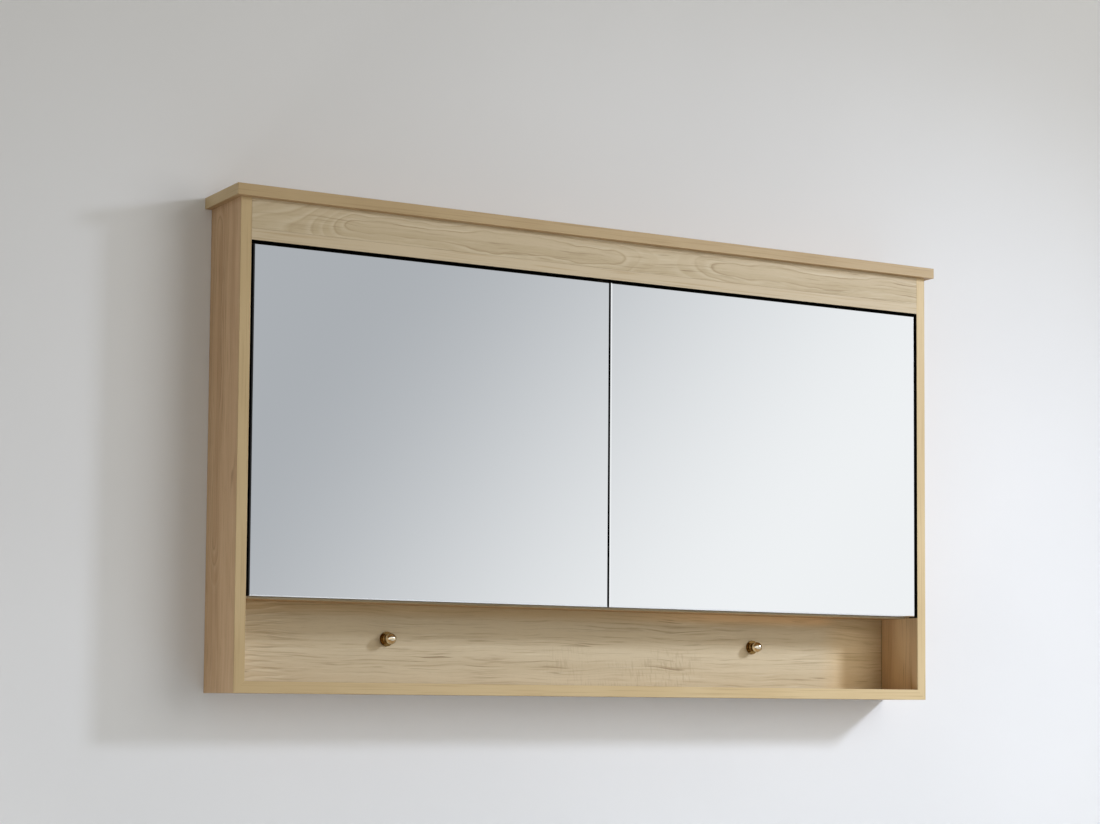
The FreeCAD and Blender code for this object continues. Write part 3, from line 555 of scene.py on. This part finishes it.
mirrorPane = {
    "silver": tone(247, 249, 250),
    "silverFacing": (-0.35, -0.55),
    "edge": tone(16, 17, 17),  # painted round the edge against damp; dark also as painted shade for the gaps round the doors
    "edgeRough": 0.35,
    "rim": 0.5683,  # painted shade: the dark edge paint takes in the bevel at the hinge side, where the gap shows shade
    "rimBlur": 0.0001,
    "clean": 0.006,
    "wiped": 0.022,
    "wipes": (0.20, 0.06),
    "wipeDetail": 4,
    "wipeRough": 0.6,
    "film": (0.45, 0.75),
}
doorWhite = {
    "white": tone(232, 232, 229),
    "shade": tone(228, 228, 225),
    # dark edge tape, also painted shade for the gaps round the doors
    "edge": tone(20, 19, 18),
    "edgeFacing": (0.6, 0.4),
    "cloudGrain": 6,
    "clouds": (0.35, 0.65),
    "peelGrain": 900,
    "rough": (0.3, 0.7, 0.34, 0.46),
    "relief": (0.12, 0.0002),
}
shelfGlass = {
    "face": tone(238, 247, 243),
    "edge": tone(150, 205, 186),
    "ior": 1.5,
    "flatFacing": (0.80, 0.95),
    "markGrain": 40,
    "markDetail": 4,
    "marks": (0.5, 0.75, 0.0, 0.03),
    "edgeRough": 0.1,
}


def makeMirror(name, look):  # silvered on the front and most of its bevel
    finish, tree = newFinish(name)
    place = split(tree, pieceVector(tree))
    facing = rise(tree, pieceNormal(tree)["Y"], *look["silverFacing"])
    # painted shade: the bevel at the hinge side takes the dark edge colour
    silvered = times(tree, facing, below(tree, absolute(tree, place["X"]), look["rim"], look["rimBlur"]))
    wipeSpace = stretched(tree, place["X"], place["Z"], place["Y"], *look["wipes"])
    wipes = noise(tree, wipeSpace, detail=look["wipeDetail"], roughness=look["wipeRough"])
    film = rise(tree, wipes, *look["film"], look["clean"], look["wiped"])
    painted = calc(tree, "MULTIPLY_ADD", silvered, -look["edgeRough"], look["edgeRough"])
    principled(tree, {
        "Base Color": mixTone(tree, silvered, look["edge"], look["silver"]),
        "Metallic": silvered,
        "Roughness": calc(tree, "ADD", film, painted),
    })
    return finish


def makeDoorWhite(name, look):  # white faces; dark edge tape, also painted shade for the gaps round the doors
    finish, tree = newFinish(name)
    vector = pieceVector(tree)
    peel = noise(tree, vector, look["peelGrain"])
    cloud = noise(tree, vector, look["cloudGrain"])
    colour = mixTone(tree, rise(tree, cloud, *look["clouds"]), look["white"], look["shade"])
    edge = rise(tree, absolute(tree, pieceNormal(tree)["Y"]), *look["edgeFacing"])
    principled(tree, {
        "Base Color": mixTone(tree, edge, colour, look["edge"]),
        "Roughness": rise(tree, peel, *look["rough"]),
        "Normal": bump(tree, peel, *look["relief"]),
    })
    return finish


def makeShelfGlass(name, look):  # green at the edges, and lamps shine through it
    finish, tree = newFinish(name)
    flat = rise(tree, absolute(tree, pieceNormal(tree)["Z"]), *look["flatFacing"])
    smears = noise(tree, pieceVector(tree), look["markGrain"], look["markDetail"])
    ground = calc(tree, "MULTIPLY_ADD", flat, -look["edgeRough"], look["edgeRough"])
    glass = add(tree, "BsdfPrincipled", {
        "Base Color": mixTone(tree, flat, look["edge"], look["face"]),
        "Roughness": calc(tree, "ADD", rise(tree, smears, *look["marks"]), ground),
        "Transmission Weight": 1.0,
        "IOR": look["ior"],
    })
    clear = add(tree, "BsdfTransparent", {"Color": look["face"]})
    shadow = add(tree, "LightPath").outputs["Is Shadow Ray"]
    both = add(tree, "MixShader", {0: shadow, 1: glass.outputs[0], 2: clear.outputs[0]})
    add(tree, "OutputMaterial", {"Surface": both.outputs[0]})
    return finish


# metals and rubber

hookBrass = {
    "bright": tone(252, 244, 224),
    "dull": tone(222, 198, 150),
    "foot": tone(132, 102, 58),  # darker near the wall
    "footAt": (-0.0240, -0.0215),
    # a dark rim tint: painted dark reflections round the edges
    "rim": tone(70, 56, 34),
    "smooth": 0.04,
    "worn": 0.10,
    "grain": 900,
}
hingeNickel = {
    "bright": tone(205, 202, 197),
    "dull": tone(172, 168, 162),
    "rim": tone(232, 230, 226),
    "smooth": 0.22,
    "worn": 0.38,
    "grain": 700,
}
screwSteel = {
    "bright": tone(196, 198, 200),
    "dull": tone(150, 152, 156),
    "rim": tone(230, 231, 233),
    "smooth": 0.26,
    "worn": 0.44,
    "grain": 1100,
}
metalWear = {
    "detail": 4,
    "roughness": 0.6,
    "coarser": 6,  # rubbed patches against the metal's own grain
    "finer": 2,
    "dull": (0.42, 0.70),
    "worn": (0.40, 0.75),
    "relief": (0.06, 0.0001),
}
bumperRubber = {
    "clear": tone(214, 214, 208),
    "dust": tone(188, 188, 180),
    "grain": 1200,
    "detail": 3,
    "dusty": (0.45, 0.7),
    "rough": (0.3, 0.7, 0.4, 0.6),
    "relief": (0.1, 0.0001),
}


def makeMetal(name, look):
    finish, tree = newFinish(name)
    vector = pieceVector(tree)
    patchGrain = look["grain"] / metalWear["coarser"]
    rubbed = noise(tree, vector, patchGrain, metalWear["detail"], metalWear["roughness"])
    grit = noise(tree, vector, look["grain"] * metalWear["finer"])
    colour = mixTone(tree, rise(tree, rubbed, *metalWear["dull"]), look["bright"], look["dull"])
    if "foot" in look:
        foot = rise(tree, split(tree, vector)["Y"], *look["footAt"])
        colour = mixTone(tree, foot, colour, look["foot"])
    principled(tree, {
        "Base Color": colour,
        "Metallic": 1.0,
        "Roughness": rise(tree, rubbed, *metalWear["worn"], look["smooth"], look["worn"]),
        "Normal": bump(tree, grit, *metalWear["relief"]),
        "Specular Tint": look["rim"],
    })
    return finish


def makeRubber(name, look):
    finish, tree = newFinish(name)
    dust = noise(tree, pieceVector(tree), look["grain"], look["detail"])
    principled(tree, {
        "Base Color": mixTone(tree, rise(tree, dust, *look["dusty"]), look["clear"], look["dust"]),
        "Roughness": rise(tree, dust, *look["rough"]),
        "Normal": bump(tree, dust, *look["relief"]),
    })
    return finish


finishes = {
    "oak_upright": makeOak("oakUpright", uprightOak),
    "oak_level": makeOak("oakLevel", levelOak),
    "oak_edge": makeEdgeTape("oakEdgeTape", edgeTape),
    "rail_board": makeRailTimber("railTimber", railTimber),
    "dowel_wood": makeBeech("dowelBeech", dowelBeech),
    "door_white": makeDoorWhite("doorWhite", doorWhite),
    "mirror_pane": makeMirror("mirrorPane", mirrorPane),
    "shelf_glass": makeShelfGlass("shelfGlass", shelfGlass),
    "bumper_rubber": makeRubber("bumperRubber", bumperRubber),
    "nickel": makeMetal("hingeNickel", hingeNickel),
    "screw_steel": makeMetal("screwSteel", screwSteel),
    "hook_brass": makeMetal("hookBrass", hookBrass),
}
for part in frame["record"]["subparts"]:
    for slot in nodes[part["node"]].material_slots:
        slot.material = finishes[part["material_slot"]]
print("finishes on, %d slots" % len(finishes))


# backdrop: wall and floor in one sweep, open behind the cabinet, seen from the front only

backdrop = {
    "wall": tone(235, 235, 235),
    "shade": tone(231, 231, 231),
    "cloudGrain": 1.3,
    "clouds": (0.3, 0.7),
    "rollerGrain": 420,
    "relief": (0.08, 0.0005),
    "rough": 0.4,
    "halfWidth": 6.0,
    "top": 4.0,
    "floor": -1.25,
    "front": -7.0,
    "coveRadius": 0.35,
    "coveSteps": 16,
    "gap": 0.0005,
    "lap": 0.002,  # the wall runs this far behind the cabinet's edges
    "ownPlace": ((1, 1), (1, 2), (1, 3), (2, 2)),  # row and column of the squares behind the cabinet
    "holeRim": 0.0002,
    "fadeFront": (-1.6, -3.6),  # the floor runs out into the white of the room
    "fadeSide": (2.0, 4.5),
    "fadeFoot": (-0.4, -1.2),
}


def makeBackdropFinish(look):
    finish, tree = newFinish("backdropPaint")
    vector = pieceVector(tree)
    place = split(tree, vector)
    cloud = noise(tree, vector, look["cloudGrain"])
    roller = noise(tree, vector, look["rollerGrain"])
    coat = add(tree, "BsdfDiffuse", {
        "Color": mixTone(tree, rise(tree, cloud, *look["clouds"]), look["wall"], look["shade"]),
        "Roughness": look["rough"],
        "Normal": bump(tree, roller, *look["relief"]),
    })
    clear = add(tree, "BsdfTransparent")
    behind = add(tree, "NewGeometry").outputs["Backfacing"]
    aside = rise(tree, absolute(tree, place["X"]), *look["fadeSide"])
    aside = times(tree, aside, rise(tree, place["Y"], *look["fadeFoot"]))
    faded = calc(tree, "MAXIMUM", aside, rise(tree, place["Y"], *look["fadeFront"]))
    gone = calc(tree, "MAXIMUM", behind, faded)
    both = add(tree, "MixShader", {0: gone, 1: coat.outputs[0], 2: clear.outputs[0]})
    add(tree, "OutputMaterial", {"Surface": both.outputs[0]})
    return finish


def backdropRows(look, levels):  # (y, z) from the top of the wall down and out over the floor
    radius = look["coveRadius"]
    coveY, coveZ = look["gap"] - radius, look["floor"] + radius
    rows = [(look["gap"], level) for level in [look["top"]] + levels]
    for step in range(look["coveSteps"] + 1):
        turn = math.pi / 2 * step / look["coveSteps"]
        rows.append((coveY + radius * math.cos(turn), coveZ - radius * math.sin(turn)))
    rows.append((look["front"], look["floor"]))
    return rows


def addSweep(mesh, look):
    lap = look["lap"]
    cornice, left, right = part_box("cornice_bands"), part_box("side_left"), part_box("side_right")
    levels = [cornice[1][2] - lap, cornice[0][2] + lap, left[0][2] + lap]
    columns = [-look["halfWidth"], cornice[0][0] + lap, left[0][0] + lap]
    columns += [right[1][0] - lap, cornice[1][0] - lap, look["halfWidth"]]
    grid = [[mesh.verts.new((x, y, z)) for x in columns] for y, z in backdropRows(look, levels)]
    for row in range(len(grid) - 1):
        for column in range(len(columns) - 1):
            if (row, column) in look["ownPlace"]:
                continue
            upper, lower = grid[row], grid[row + 1]
            mesh.faces.new((upper[column], lower[column], lower[column + 1], upper[column + 1]))


def addWallBehindScrews(mesh, look):  # without it the holes would show the lamp behind the wall
    screws = frame["record"]["mounts"][0]["dims"]
    reach = screws["hole_r_mm"] * millimetre + look["holeRim"]
    halfSpan = screws["spacing_x_mm"] * millimetre / 2
    halfRise = screws["spacing_y_mm"] * millimetre / 2
    square = ((-reach, reach), (-reach, -reach), (reach, -reach), (reach, reach))
    for x in (-halfSpan, halfSpan):
        for z in (-halfRise, halfRise):
            corners = [(x + away, look["gap"], z + up) for away, up in square]
            mesh.faces.new([mesh.verts.new(corner) for corner in corners])


def buildBackdrop(look):
    mesh = bmesh.new()
    addSweep(mesh, look)
    addWallBehindScrews(mesh, look)
    data = bpy.data.meshes.new("backdrop")
    mesh.to_mesh(data)
    mesh.free()
    data.shade_smooth()
    sweep = bpy.data.objects.new("backdrop", data)
    scene.collection.objects.link(sweep)
    data.materials.append(makeBackdropFinish(look))


buildBackdrop(backdrop)
print("backdrop built")


# lamps: a cool spot and a wide softbox from the right, weak ones low down, one behind for the back

daylight = (0.785, 0.855, 1.0)
coolWhite = (0.70, 0.86, 1.0)
white = (1.0, 1.0, 1.0)
keySpot = {
    "at": (2.33, -2.05, 0.91),
    "aim": (0.10, 0, -0.80),
    "power": 247,
    "cone": 60,
    "blend": 1,
    "radius": 0.20,
    "colour": daylight,
}
frontSoftbox = {
    "at": (1.4, -3.0, 0.50),
    "aim": (0, 0, 0),
    "power": 40.6,
    "size": 2.4,
    "colour": white,
}
lowSoftbox = {
    "at": (0.0, -0.7, -1.15),
    "aim": (0, -0.05, -0.30),
    "power": 1.4,
    "size": 1.0,
    "colour": coolWhite,
}
leftSoftbox = {
    "at": (-1.7, -0.5, -1.0),
    "aim": (-0.6, 0, -0.30),
    "power": 2.3,
    "size": 0.4,
    "colour": white,
}
rearSoftbox = {
    "at": (0.8, 3.2, 1.2),
    "aim": (0, 0, 0),
    "power": 50,
    "size": 2.4,
    "colour": white,
}


def placeLamp(data, look):
    data.energy = look["power"]
    data.color = look["colour"]
    lamp = bpy.data.objects.new(data.name, data)
    lamp.location = look["at"]
    lamp.rotation_euler = (Vector(look["aim"]) - lamp.location).to_track_quat("-Z", "Y").to_euler()
    scene.collection.objects.link(lamp)
    return lamp


def addSpot(name, look):
    data = bpy.data.lights.new(name, "SPOT")
    data.spot_size = math.radians(look["cone"])
    data.spot_blend = look["blend"]
    data.shadow_soft_size = look["radius"]
    placeLamp(data, look)


def addSoftbox(name, look):
    data = bpy.data.lights.new(name, "AREA")
    data.shape = "DISK"
    data.size = look["size"]
    placeLamp(data, look).visible_glossy = False


addSpot("keySpot", keySpot)
addSoftbox("frontSoftbox", frontSoftbox)
addSoftbox("lowSoftbox", lowSoftbox)
addSoftbox("leftSoftbox", leftSoftbox)
addSoftbox("rearSoftbox", rearSoftbox)


# studio room: soft fill, and what mirror and metal see of it, brighter overhead and to the sides

room = {
    "fill": tone(255, 250, 237),
    "fillStrength": 0.30,
    "shown": tone(246, 246, 245),
    "dim": tone(176, 179, 183),
    "glow": tone(246, 247, 248),
    "glowTilt": 0.6,
    "glowRight": (0.31, 0.55),
    "glowLeft": (0.22, 0.0),
    "windowSill": (0.205, 0.25),  # pale panes up and to the right, for the metal
    "windowLeft": (0.0, 0.20),
    "windowBack": (0.10, -0.10),
    "doorLeft": (0.66, 0.70),
    "doorSill": (-0.30, -0.20),
    "farLeft": (-0.80, -0.86, 0, 0.5),
    "dusk": (0.0, -0.40, 0, 0.9),  # the room darkens towards the floor
}


def mirroredRoom(tree, look):
    ray = split(tree, add(tree, "TexCoord").outputs["Generated"])
    lean = calc(tree, "MULTIPLY_ADD", ray["Z"], -look["glowTilt"], ray["X"])
    sides = calc(tree, "ADD", rise(tree, lean, *look["glowRight"]), rise(tree, lean, *look["glowLeft"]))
    colour = mixTone(tree, sides, look["dim"], look["glow"])
    window = rise(tree, ray["Z"], *look["windowSill"])
    window = times(tree, window, rise(tree, ray["X"], *look["windowLeft"]))
    door = rise(tree, ray["X"], *look["doorLeft"])
    door = times(tree, door, rise(tree, ray["Z"], *look["doorSill"]))
    panes = times(tree, calc(tree, "MAXIMUM", window, door), rise(tree, ray["Y"], *look["windowBack"]))
    panes = calc(tree, "MAXIMUM", panes, rise(tree, ray["X"], *look["farLeft"]))
    colour = mixTone(tree, panes, colour, look["glow"])
    return mixTone(tree, rise(tree, ray["Z"], *look["dusk"]), colour, look["dim"])


def buildRoom(look):
    world = bpy.data.worlds.new("studioRoom")
    scene.world = world
    world.use_nodes = True
    tree = world.node_tree
    tree.nodes.clear()
    path = add(tree, "LightPath").outputs
    fill = add(tree, "Background", {"Color": look["fill"], "Strength": look["fillStrength"]})
    shine = add(tree, "Background", {"Color": mirroredRoom(tree, look), "Strength": 1})
    plain = add(tree, "Background", {"Color": look["shown"], "Strength": 1})
    sharp = calc(tree, "MAXIMUM", path["Is Glossy Ray"], path["Is Transmission Ray"])
    lit = add(tree, "MixShader", {0: sharp, 1: fill.outputs[0], 2: shine.outputs[0]})
    seen = add(tree, "MixShader", {0: path["Is Camera Ray"], 1: lit.outputs[0], 2: plain.outputs[0]})
    add(tree, "OutputWorld", {"Surface": seen.outputs[0]})


buildRoom(room)
print("lamps and room set")


# camera: left of the cabinet, level with its bottom board, lens shifted up

camera = {
    "at": (-1.8092, -3.0858, -0.3969),
    "yaw": 29.868,
    "pitch": 3.930,
    "roll": -0.426,
    "lens": 77.54,
    "sensor": 36,
    "shiftUp": 0.12,
}


def addCamera(look):
    data = bpy.data.cameras.new("camera")
    data.lens = look["lens"]
    data.sensor_width = look["sensor"]
    data.shift_y = look["shiftUp"]
    eye = bpy.data.objects.new("camera", data)
    eye.location = look["at"]
    turns = (90 + look["pitch"], look["roll"], -look["yaw"])
    eye.rotation_euler = [math.radians(turn) for turn in turns]
    scene.collection.objects.link(eye)
    scene.camera = eye


addCamera(camera)
print("camera set")
